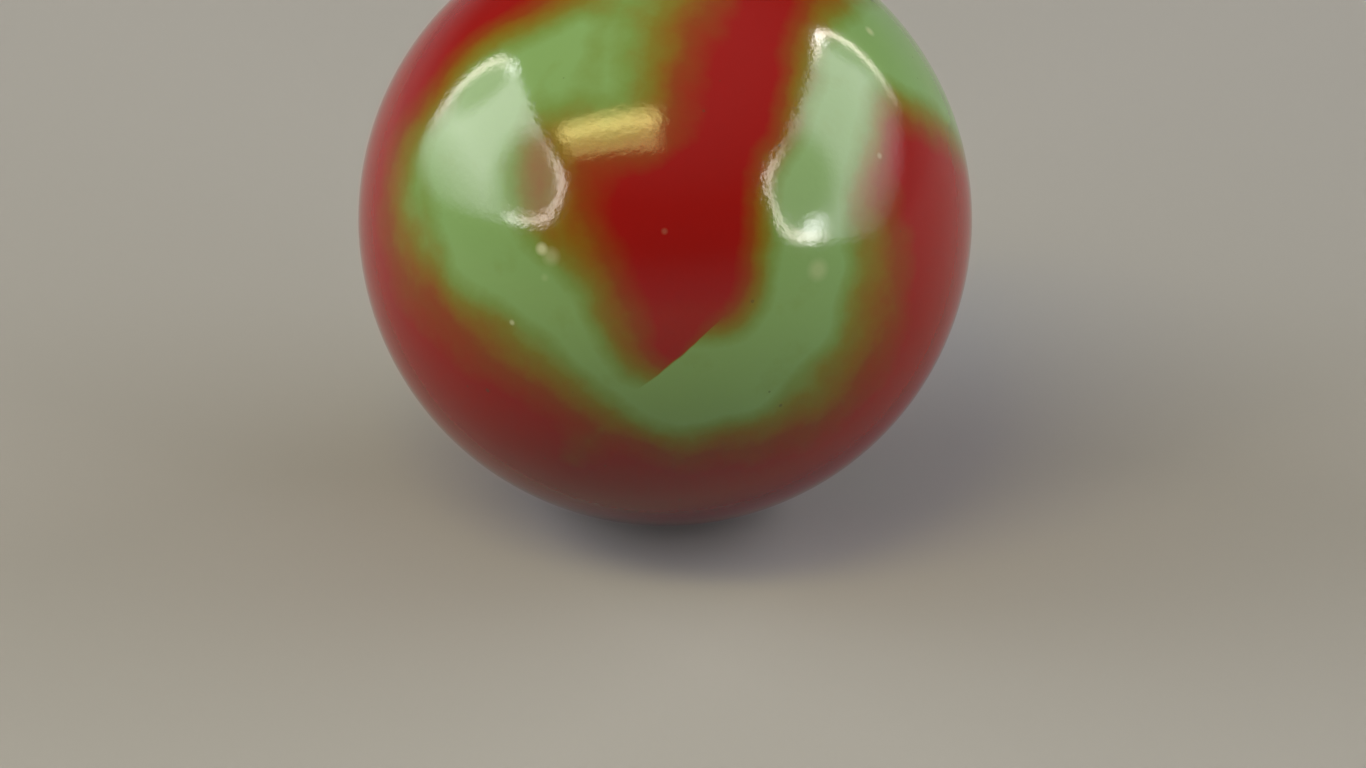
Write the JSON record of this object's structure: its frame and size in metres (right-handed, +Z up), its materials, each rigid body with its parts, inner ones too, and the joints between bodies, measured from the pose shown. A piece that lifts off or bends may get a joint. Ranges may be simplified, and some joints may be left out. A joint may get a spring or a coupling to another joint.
{
  "type": "glass marble",
  "caption": "Solid round play marble of opaque red glass with a soft-edged jade green stream folded through its skin and a clear gloss all over.",
  "frame": {"origin": "centre of the ball", "axes": "+Z up through the ball as the picture shows it, and -Y towards the side that faced the camera"},
  "size_m": [0.016, 0.016, 0.016],
  "materials": {
    "swirled_glass": "opaque red glass with a milky jade green stream, ochre where the two have mixed, fire-polished to a high gloss with a few tiny pits"
  },
  "bodies": {
    "root": {"marble": "swirled_glass"}
  },
  "joints": []
}
